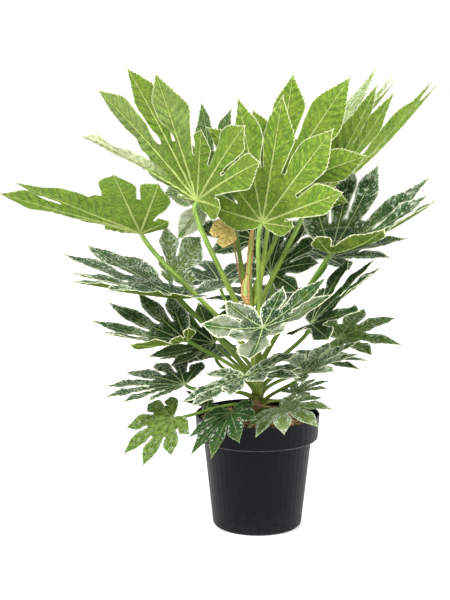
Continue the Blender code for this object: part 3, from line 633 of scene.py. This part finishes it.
def halfLobe(leaf, lobe, side, neighbour, line, middle, outer):
    # places of one half of a lobe from its midrib to its border, values for leafPlaces, and rib depth
    along, out, shift, start = line
    length = lobe["length"]
    size = leafSize(leaf)
    share = middle / length
    reach = np.abs(out)
    ribHalf = np.minimum((blade["ribHalf"] - blade["ribLoss"] * share) * size, 0.4 * reach)
    steps = [ribHalf * j / blade["ribCells"] for j in range(blade["ribCells"] + 1)]
    steps += [ribHalf + (reach - ribHalf) * j / outer for j in range(1, outer + 1)]
    off = np.stack(steps, axis=1)
    reach = reach[:, None]
    even = np.arange(off.shape[1])[None, :] / (off.shape[1] - 1)
    v = np.where(reach > 1e-9, off / np.maximum(reach, 1e-9), even)
    along = middle[:, None] + (along - middle)[:, None] * v
    place, facing = lobePoint(lobe, along, side * off)
    place = place + shift[:, None, :] * ease(v)[..., None]
    phase = (along - blade["veinSlant"] * off) / (blade["veinSpacing"] * sqrt(leaf["length"] * 0.17))
    s = along / length

    # quilting between the side veins, a waved margin and a slight twist
    free = ease((np.arange(len(middle)) - blade["webRows"]) / 8)[:, None]
    puff = -blade["quilt"] * size * np.cos(2 * np.pi * phase)
    puff = puff * np.sin(np.pi * np.clip(v, 0, 1)) ** 0.7
    puff *= ease(s / 0.12) * ease((1 - s) / 0.15)
    ripple = np.sin(s * 17 + lobe["waveStart"][(side + 1) // 2])
    ripple += 0.6 * np.sin(s * 31 + lobe["waveStart"][(1 - side) // 2] * 2)
    flutter = blade["wave"] * length * ripple * v * v * free * ease((1 - s) / 0.25)
    turned = side * off * np.tan(lobe["twist"] * ease((s - 0.35) / 0.65)) * free
    place = place + (puff + flutter + turned)[..., None] * facing

    gap = reach - off
    if neighbour is not None:
        gap = np.hypot(np.maximum(start - along, 0.0), gap)
    cream = lobe["pale"] * ease((s - 0.15) / 0.5)
    ridge = np.clip(1 - off / np.maximum(ribHalf[:, None], 1e-6), 0, 1) ** 0.8
    taper = np.clip(1 - share[:, None], 0, 1) ** 0.8
    hubPart = np.clip(1 - along / (0.02 * size), 0, 1) ** 2
    depth = np.maximum(ridge * taper * 0.9, hubPart)
    return place, np.stack((along, off, phase, gap, s, cream), axis=-1), depth


def bladeSurface(leaf, rng):
    # middle surface of a blade: points, faces, stored values, rib depth and the order of its margin
    web = blade["webRows"]
    grade = sum(leaf["length"] <= length for length in blade["largeFrom"])
    rows = blade["rows"][grade]
    outer = blade["outerCells"][grade]
    last = web + rows
    webShare = np.linspace(0, 1, web + 1)
    bladeShare = np.linspace(0, 1, rows + 1)[1:] ** 1.25
    lobes = [makeLobe(leaf, k, rng) for k in range(leaf["lobes"])]

    points = [np.array([leaf["hub"]], float)]
    values = [np.array([[0.0, 0.0, 0.0, 0.01, 0.0, 0.0]])]     # in the order of leafPlaces
    depths = [np.array([1.0])]
    count = 1
    quads = []
    triangles = []
    rims = []
    for before, lobe, after in zip([None] + lobes, lobes, lobes[1:] + [None]):
        halves = [(side, beside, borderLine(leaf, lobe, side, beside, webShare, bladeShare))
                  for side, beside in ((-1, before), (1, after))]
        fork = 0.5 * sum(half[2][3] for half in halves)
        middle = rowPlaces(fork, lobe["length"], webShare, bladeShare)
        borders = []
        for side, beside, line in halves:
            place, found, depth = halfLobe(leaf, lobe, side, beside, line, middle, outer)
            # points shared with the hub, the midrib, the last seam and the tip keep their numbers
            index = np.full(depth.shape, -1)
            index[0] = 0
            if side > 0:
                index[:, 0] = midrib
                index[last] = tip
            else:
                index[last, 1:] = -2    # these get the number of the tip
                if before is not None:
                    index[:web + 1, -1] = seam
            new = index == -1
            index[new] = np.arange(count, count + new.sum())
            count += new.sum()
            points.append(place[new])
            values.append(found[new])
            depths.append(depth[new])
            midrib = index[:, 0]
            tip = midrib[last]
            index[last] = tip
            borders.append(index[:, -1])

            near = index[1:last - 1]
            far = index[2:last]
            quad = np.stack((near[:, :-1], far[:, :-1], far[:, 1:], near[:, 1:]), axis=-1)
            root = np.stack((index[0, 1:], index[1, :-1], index[1, 1:]), axis=-1)
            end = np.stack((index[last - 1, :-1], index[last, 1:], index[last - 1, 1:]), axis=-1)
            quads.append(quad.reshape(-1, 4)[:, ::side])
            triangles += [root[:, ::side], end[:, ::side]]
        seam = borders[1][:web + 1]
        fromRow = 1 if before is None else web + 1
        downTo = 0 if after is None else web - 1
        rims += [borders[0][fromRow:last], [tip], borders[1][last - 1:downTo:-1]]
    rim = np.concatenate([[0]] + rims).astype(int)
    return (*(np.concatenate(parts) for parts in (points, quads, triangles, values, depths)), rim)


def vertexNormals(points, quads, triangles):
    normals = np.zeros_like(points)
    corners = np.concatenate((triangles, quads[:, (0, 1, 2)], quads[:, (0, 2, 3)]))
    a, b, c = (points[corners[:, j]] for j in range(3))
    face = np.cross(b - a, c - a)
    for j in range(3):
        np.add.at(normals, corners[:, j], face)
    return normals / np.maximum(np.linalg.norm(normals, axis=1, keepdims=True), 1e-12)


def bezier(a, b, c, d, t):
    return (1 - t) ** 3 * a + 3 * (1 - t) ** 2 * t * b + 3 * (1 - t) * t * t * c + t ** 3 * d


def tubeRings(centres, radii, sides, side):
    angles = [fullTurn * j / sides for j in range(sides)]
    rings = []
    for k, centre in enumerate(centres):
        ahead = (centres[min(k + 1, len(centres) - 1)] - centres[max(k - 1, 0)]).normalized()
        side = (side - side.dot(ahead) * ahead).normalized()
        up = ahead.cross(side)
        rings.append([centre + radii[k] * (cos(g) * side + sin(g) * up) for g in angles])
    return rings


def tubeFaces(first, rings, sides):
    # quads and end caps of a tube whose points start at index first
    quads = []
    for k in range(rings - 1):
        low = first + k * sides
        for j in range(sides):
            after = (j + 1) % sides
            quads.append((low + j, low + after, low + sides + after, low + sides + j))
    end = first + (rings - 1) * sides
    return quads + [tuple(range(first, first + sides))[::-1], tuple(range(end, end + sides))]


def stalkRings(leaf):
    # the stalk on the same curve as the solid's, with a wide base that runs into the stem
    hub = Vector(leaf["hub"])
    ahead, _, up = (Vector(axis) for axis in leafAxes(leaf))
    axis = stemAxis(leaf["node"])
    leave = radians(leaf["leave"]) if "leave" in leaf else atan2(hub.y - axis.y, hub.x - axis.x)
    outward = Vector((cos(leave), sin(leave), 0))
    thick = leaf.get("stalk", stalk["least"] + stalk["growth"] * leaf["length"])
    meet = radians(leaf.get("meet", stalk["meetsAt"]))
    radii = [thick * stalk["footSwell"]] + [thick] * 6
    out = stemRadius(leaf["node"]) + 2 * thick
    for _ in range(3):      # the foot moves in until the solid's own tube stands 0.3 mm off the stem
        start = axis + out * outward
        chord = (hub - start).normalized()
        begin = chord + stalk["outward"] * outward + Vector((0, 0, stalk["upward"]))
        begin.normalize()
        slant = chord - chord.dot(up) * up
        bent = chord.dot(up) < slant.length * tan(meet)
        end = cos(meet) * slant.normalized() + sin(meet) * up if bent else chord
        reach = (hub - start).length
        last = hub - end * thick * stalk["hubGap"]
        tail = leaf.get("tail", stalk["tail"])
        controls = (start, start + begin * reach * stalk["head"], last - end * reach * tail, last)
        lead = (up - ahead) - (up - ahead).dot(end) * end
        coarse = [bezier(*controls, t / 6) for t in range(7)]
        base = tubeRings(coarse[::-1], radii[::-1], 6, lead)[-1]
        out -= min((p - stemAxis(p.z)).length - stemRadius(p.z) for p in base) - 0.0003
    shares = [t / stalk["steps"] for t in range(stalk["steps"] + 1)]
    # the tube runs on past both ends of its curve, into the stem and into the blade
    centres = [start - begin * thick * 2.2, start - begin * thick * 1.2]
    centres += [bezier(*controls, t) for t in shares]
    centres += [last + end * thick * 0.8, last + end * thick * 1.45]
    wide = [thick * 0.7, thick * 1.35]
    wide += [thick * (1 + 0.45 * exp(-9 * t)) for t in shares]
    wide += [thick * 0.85, thick * 0.5]
    rings = tubeRings(centres[::-1], wide[::-1], stalk["sides"], lead)[::-1]
    return rings, [0.0, 0.0] + shares + [1.0, 1.0]


def newPiece(name, node, points, faces, looks, values, slots=None, sharp=50.0):
    # values are what the finishes read at each point
    mesh = bpy.data.meshes.new(name)
    mesh.from_pydata([tuple(p) for p in points], [], faces)
    for look in looks:
        mesh.materials.append(look)
    if slots is not None:
        mesh.polygons.foreach_set("material_index", slots)
    mesh.shade_smooth()
    mesh.set_sharp_from_angle(angle=radians(sharp))
    mesh.validate()
    for label, numbers in values.items():
        layer = mesh.attributes.new(label, "FLOAT", "POINT")
        layer.data.foreach_set("value", np.asarray(numbers, dtype=np.float32))
    item = addObject(name, mesh)
    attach(item, "root")
    if node is not None:
        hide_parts(node)


def makeLeaf(leaf, number):
    rng = np.random.default_rng(100 + number)
    points, quads, triangles, values, depths, rim = bladeSurface(leaf, rng)
    normals = vertexNormals(points, quads, triangles)
    half = blade["thickness"] / 2
    lift = half * np.where(values[:, 3:4] < 1e-6, 0.6, 1.0)
    upper = points + normals * lift
    lower = points - normals * (lift + blade["ribDepth"] * leafSize(leaf) * depths[:, None])
    under = len(points)
    upperFaces = quads.tolist() + triangles.tolist()
    lowerFaces = (quads[:, ::-1] + under).tolist() + (triangles[:, ::-1] + under).tolist()
    around = np.roll(rim, -1)
    rimFaces = np.stack((around, rim, rim + under, around + under), axis=1).tolist()

    rings, shares = stalkRings(leaf)
    sides = len(rings[0])
    stalkPoints = np.array([tuple(p) for ring in rings for p in ring])
    stalkFaces = tubeFaces(2 * under, len(rings), sides)
    faces = upperFaces + lowerFaces + rimFaces + stalkFaces
    slots = [0] * len(upperFaces) + [1] * len(lowerFaces + rimFaces) + [2] * len(stalkFaces)
    kind = leaf.get("kind", "mature")
    dry = kind == "dry"
    faceSides = ("Both", "Both") if dry else ("Upper", "Lower")
    looks = [finishes[kind + part] for part in (*faceSides, "Stalk")]
    slotName = "husk" if dry else kind + "_leaf"
    points = np.concatenate((upper, lower, stalkPoints))
    stalkShare = np.repeat(shares, sides)
    stalkSide = np.tile(np.abs(np.arange(sides) - sides / 2) / sides, len(rings))
    onStalk = {"alongRib": stalkShare * 0.3, "offRib": stalkSide, "lobeShare": stalkShare}
    plain = np.ones(len(stalkPoints))
    read = {label: np.concatenate((values[:, column], values[:, column], onStalk.get(label, plain)))
            for column, label in enumerate(leafPlaces)}
    tone, specks, edge = leaf["look"]
    tone += rng.uniform(-0.04, 0.04)
    for label, value in zip(leafTraits, (tone, specks, edge)):
        read[label] = np.full(len(points), value)
    newPiece("fine_" + leaf["name"], leaf["name"], points, faces, looks, read, slots, 70.0)
    return len(faces)


added = sum(makeLeaf(leaf, number) for number, leaf in enumerate(leaves))
print("leaves made,", added, "faces")

# two tones of each zone of the stem, and the heights between which it gives way to the next
barkValues = {"green": ((0.14, 0.2, 0.025), (0.3, 0.38, 0.07)), "ring": (0.075, 0.04, 0.014),
              "knotty": ((0.045, 0.08, 0.01), (0.22, 0.3, 0.035)), "knottyTop": (0.236, 0.25),
              "cork": ((0.2, 0.075, 0.045), (0.46, 0.25, 0.16)), "corkTop": (0.212, 0.217)}


def barkFinish(values):
    # green above, darker and knotty below, corky red-brown near the mix, a brown line at each ring
    look, tree = newMaterial("stemBark", 0.62)
    place = objectPlace(tree)
    grain = place.cloud(240.0, 3.0, 0.6)
    streak = place.stretched(0.2).cloud(420.0, 3.0, 0.6).fade(0.35, 0.65)
    climb = signal(tree, "SeparateXYZ", {0: place}, 2) + (place.cloud(60.0) - 0.5) * 0.012
    cork = grain.fade(0.35, 0.65).blend(*values["cork"])
    green, knotty = (streak.blend(*values[key]) for key in ("green", "knotty"))
    colour = climb.fade(*values["knottyTop"]).blend(knotty, green)
    colour = climb.fade(*values["corkTop"]).blend(cork, colour)
    line = stored(tree, "scarGap").fade(0.0016, 0.0004)
    colour = (line * 0.85).blend(colour, values["ring"])
    return dress(look, colour, grain + line * -0.6, 0.6, 0.0008)


def makeStem(values):
    points = []
    gaps = []
    for h in np.linspace(values["holeFloor"] + 0.0003, values["top"], values["rings"]):
        centre = stemAxis(h)
        scar = min(values["scars"], key=lambda s: abs(s - h))
        radius = stemRadius(h) if h > values["mixTop"] else values["foot"]
        radius -= 0.0004 * exp(-(abs(scar - h) / 0.0012) ** 2)         # the ring itself
        radius += 0.0005 * exp(-((h - scar + 0.003) / 0.0022) ** 2)   # and the swelling under it
        radius *= 1 - 0.62 * float(ease((h - values["roundFrom"]) / 0.014)) ** 2
        for j in range(values["sides"]):
            angle = fullTurn * j / values["sides"]
            bark = 0.0005 * noise.noise(Vector((cos(angle) * 3, sin(angle) * 3, h * 90)))
            bark += 0.0003 * noise.noise(Vector((cos(angle) * 9, sin(angle) * 9, h * 30 + 7)))
            here = radius + (bark if h > values["mixTop"] + 0.002 else -0.0002)
            points.append((centre.x + here * cos(angle), centre.y + here * sin(angle), h))
            gaps.append(abs(scar - h))
    faces = tubeFaces(0, values["rings"], values["sides"])
    newPiece("fine_stem", "stem", points, faces, [barkFinish(barkValues)], {"scarGap": gaps})


makeStem(stem)
print("stem made")

# spine: middle and half width of the husk from its foot to its top. green: where the leaf base shows
sheathValues = {
    "stem_sheath": dict(
        spine=(((-0.0175, -0.0105, 0.38), 0.005), ((-0.021, -0.0125, 0.394), 0.0072),
               ((-0.021, -0.012, 0.412), 0.0068), ((-0.018, -0.0105, 0.428), 0.002)),
        finish="papery_sheath", low=(0.52, 0.25, 0.085), edge=(0.86, 0.58, 0.26), middle=(0.46, 0.56, 0.16),
        green=(0.35, 0.95)),
    "upper_sheath": dict(
        spine=(((-0.016, -0.0006, 0.4154), 0.0024), ((-0.0155, -0.001, 0.425), 0.0045),
               ((-0.014, -0.002, 0.45), 0.0052), ((-0.011, -0.004, 0.49), 0.0042),
               ((-0.0085, -0.004, 0.52), 0.0012)),
        finish="papery_strip", low=(0.44, 0.22, 0.07), edge=(0.82, 0.56, 0.22), middle=(0.4, 0.47, 0.11),
        green=(0.02, 0.75)),
}
# dark brown of the painted shade in the husk's folds, and of the line along the husk's edge
creaseShadeAndRimColour = (0.17, 0.06, 0.018)


def huskFinish(values):
    # papery brown skin with lengthwise fibres, wrapped round a green leaf base for part of its height, with
    # painted shade in its folds
    look, tree = newMaterial(values["finish"], 0.62, 0.2)
    place = objectPlace(tree)
    greenFrom, greenTo = values["green"]
    fibre = place.stretched(0.12).cloud(900.0, 3.0, 0.6)
    broad = place.cloud(120.0, 3.0)
    along = stored(tree, "huskAlong")
    wander = stored(tree, "huskAcross") + (broad - 0.5) * 0.8
    below = along.fade(greenTo + 0.05, greenTo - 0.05)
    inside = wander.fade(0.62, 0.4) * along.fade(greenFrom - 0.05, greenFrom + 0.05) * below
    green = (fibre * 0.6 + 0.7).shade(values["middle"])
    colour = inside.blend(fibre.blend(values["low"], values["edge"]), green)
    # painted shade: dark lines across the husk where it is folded
    crease = (along * 7.0 + broad * 1.6).backAndForth().fade(0.1, 0.02) * (1.0 - inside)
    rim = wander.gapTo(0.55).fade(0.1, 0.03) * below
    colour = (crease.larger(rim) * 0.75).blend(colour, creaseShadeAndRimColour)
    return dress(look, colour, fibre - crease, 0.7, 0.001)


def makeSheath(name, values, rows=30, columns=8):
    spine = values["spine"]
    knots = np.linspace(0, 1, len(spine))
    t = np.linspace(0, 1, rows + 1)
    centre = np.stack([np.interp(t, knots, [s[0][j] for s in spine]) for j in range(3)], axis=1)
    half = np.interp(t, knots, [s[1] for s in spine])
    points = []
    across = []
    along = []
    for k in range(rows + 1):
        for back in (0, 1):
            for j in range(columns + 1):
                u = 2 * j / columns - 1
                u = u if back == 0 else -u
                ragged = 1 + 0.14 * noise.noise(Vector((9 * t[k], u * 2, 3.0)))
                curl = 0.35 * half[k] * abs(u) ** 1.5
                curl += 0.0006 * noise.noise(Vector((14 * t[k], 2 * u, 1.0)))
                depth = 0.0001 + curl + (0.001 - 0.0003 * abs(u) if back else 0)
                points.append(centre[k] + np.array((u * half[k] * ragged, depth, 0.0)))
                across.append(abs(u))
                along.append(t[k])
    faces = tubeFaces(0, rows + 1, 2 * (columns + 1))
    newPiece("fine_" + name, name, points, faces, [huskFinish(values)],
             {"huskAcross": across, "huskAlong": along})


for name, values in sheathValues.items():
    makeSheath(name, values)
print("sheaths made")

chipValues = {
    "count": 620, "seed": 8, "inner": 0.015, "outer": 0.0975, "level": 0.1805, "rise": 0.0032,
    "long": (0.0025, 0.0065), "wide": (0.0012, 0.003), "thick": (0.0005, 0.0012), "jitter": 0.12,
    "fibres": 160, "fibreOuter": 0.09, "fibreLong": (0.01, 0.022), "fibreThick": 0.00035, "wall": 0.0985,
    "colours": ((0.08, 0.036, 0.018), (0.54, 0.31, 0.14), (0.94, 0.77, 0.5)),
}


def chipFinish(dark, mid, bright):
    # each chip and fibre has its own brown
    look, tree = newMaterial("cocoChips", 0.85)
    grain = objectPlace(tree).cloud(420.0, 3.0, 0.65)
    tone = stored(tree, "chipTone") * 0.7 + grain * 0.4
    colour = tone.fade(0.15, 0.6).blend(dark, mid)
    colour = tone.fade(0.6, 1.0).blend(colour, bright)
    return dress(look, colour, grain, 0.7, 0.001)


def chipPoints(values, rng):
    radius = sqrt(rng.uniform(values["inner"] ** 2, values["outer"] ** 2))
    angle = rng.uniform(0, fullTurn)
    size = [rng.uniform(*values[key]) for key in ("long", "wide", "thick")]
    spin = rng.uniform(0, fullTurn)
    tip = rng.uniform(-0.5, 0.5, 2)
    ahead = unit(np.array((cos(spin), sin(spin), tip[0])))
    side = unit(np.cross(np.array((0.3 * tip[1], 0.2, 1.0)), ahead))
    height = values["level"] + rng.uniform(0.0, values["rise"]) - 0.02 * max(radius - 0.07, 0)
    centre = np.array((radius * cos(angle), radius * sin(angle), height))
    if values["outer"] - radius < 0.006:    # chips at the wall lie along it
        ahead = unit(np.array((-sin(angle), cos(angle), 0.1)))
        side = unit(np.cross(np.array((0.0, 0.0, 1.0)), ahead))
    up = np.cross(ahead, side)
    tone = rng.uniform(0, 1)
    points = []
    for x, wide in ((-1.0, 0.45), (-0.4, 1.0), (0.35, 0.9), (1.0, 0.35)):
        bend = rng.uniform(-0.25, 0.25)
        for y, z in ((-1, -1), (1, -1), (1.0, 0.6), (0.0, 1.0), (-1.0, 0.6)):
            jitter = rng.uniform(-values["jitter"], values["jitter"], 3)
            points.append(centre + (x + jitter[0]) * size[0] * ahead
                          + (y * wide + jitter[1]) * size[1] * side + (z + jitter[2] + bend) * size[2] * up)
    return points, tone


def fibrePoints(values, rng):
    radius = sqrt(rng.uniform(values["inner"] ** 2, values["fibreOuter"] ** 2))
    angle = rng.uniform(0, fullTurn)
    spin = rng.uniform(0, fullTurn)
    length = rng.uniform(*values["fibreLong"])
    centre = Vector((radius * cos(angle), radius * sin(angle), values["level"] + 0.003))
    ahead = Vector((cos(spin), sin(spin), 0))
    side = Vector((-sin(spin), cos(spin), 0))
    bow = rng.uniform(-0.3, 0.3)
    line = []
    for k in range(7):
        u = k / 3 - 1
        arch = Vector((0, 0, 0.0012 * (1 - u * u)))
        place = centre + ahead * u * length / 2 + side * bow * length * (1 - u * u) + arch
        place.xy *= min(1.0, values["wall"] / hypot(place.x, place.y))
        line.append(place)
    thick = [values["fibreThick"] * (1 - 0.5 * abs(k / 3 - 1)) for k in range(7)]
    rings = tubeRings(line, thick, 5, Vector((0, 0, 1)))
    return [tuple(p) for ring in rings for p in ring], rng.uniform(0.3, 1.0)


def makeChips(values):
    rng = np.random.default_rng(values["seed"])
    points = []
    faces = []
    tones = []
    for maker, count, rings in ((chipPoints, values["count"], 4), (fibrePoints, values["fibres"], 7)):
        for _ in range(count):
            new, tone = maker(values, rng)
            faces += tubeFaces(len(points), rings, 5)
            points += new
            tones += [tone] * len(new)
    look = chipFinish(*values["colours"])
    newPiece("coco_chips", None, points, faces, [look], {"chipTone": tones}, sharp=40.0)


makeChips(chipValues)
print("chips and fibres made")

# gaps is painted shade: the near-black brown in the crevices between the lumps of the mix
mixValues = {"dark": (0.035, 0.017, 0.01), "light": (0.4, 0.2, 0.09), "gaps": (0.018, 0.009, 0.005)}

potValues = {"plastic": (0.0026, 0.0029, 0.0056), "scuffed": (0.012, 0.013, 0.018),
             "dust": (0.06, 0.058, 0.054), "paintedEdgeHighlight": (0.1, 0.1, 0.105), "bandFoot": 0.153,
             "top": 0.1926, "dustTop": 0.055}


def mixFinish(values):
    look, tree = newMaterial("growingMix", 0.95)
    place = objectPlace(tree)
    grain = place.cloud(520.0, 4.0, 0.7)
    lumps = place.cells(260.0)
    # painted shade: the gaps between the lumps are near black
    colour = lumps.fade(0.05, 0.3).blend(values["gaps"], grain.blend(values["dark"], values["light"]))
    return dress(look, colour, grain + lumps, 0.9, 0.002)


def potFinish(values):
    # matt black moulded plastic: faint upright scuffs, a dusty foot, and painted highlights along the foot
    # of the rim band and the top lip
    look, tree = newMaterial("potPlastic", 0.5, 0.11)
    place = objectPlace(tree)
    x, y, height = (signal(tree, "SeparateXYZ", {0: place}, axis) for axis in range(3))
    turn = calc(tree, "ARCTAN2", y, x)
    # read on a circle, so the streaks have no seam where the angle jumps
    aroundPot = vector(calc(tree, "SINE", turn), calc(tree, "COSINE", turn), height * 0.9)
    streaks = aroundPot.cloud(14.0, 4.0, 0.6)
    scuffs = place.cloud(95.0, 4.0, 0.7)
    pits = place.cloud(1300.0, 2.0, 0.6)
    worn = streaks.fade(0.5, 0.75) * scuffs.fade(0.4, 0.7)
    dust = height.fade(values["dustTop"], 0.0) * scuffs.fade(0.35, 0.65)
    # painted highlight: a light line along the foot of the rim band, broken up by the scuffs, and a fainter
    # one at the top lip
    edge = height.gapTo(values["bandFoot"]).fade(0.0016, 0.0004) * scuffs.fade(0.3, 0.6, 0.35, 1.0)
    edge = edge.larger(height.gapTo(values["top"]).fade(0.0012, 0.0002) * 0.5)
    colour = (worn * 0.3).blend(values["plastic"], values["scuffed"])
    colour = (dust * 0.16).blend(colour, values["dust"])
    colour = (edge * 0.6).blend(colour, values["paintedEdgeHighlight"])
    rough = (worn + dust * 0.5).fade(0.0, 1.0, 0.44, 0.7)
    return dress(look, colour, pits + streaks * 0.25, 0.25, 0.0006, rough)


for nodeName, look in (("pot", potFinish(potValues)), ("growing_mix", mixFinish(mixValues))):
    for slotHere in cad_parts[nodeName].material_slots:
        slotHere.material = look
print("mix and pot finished")
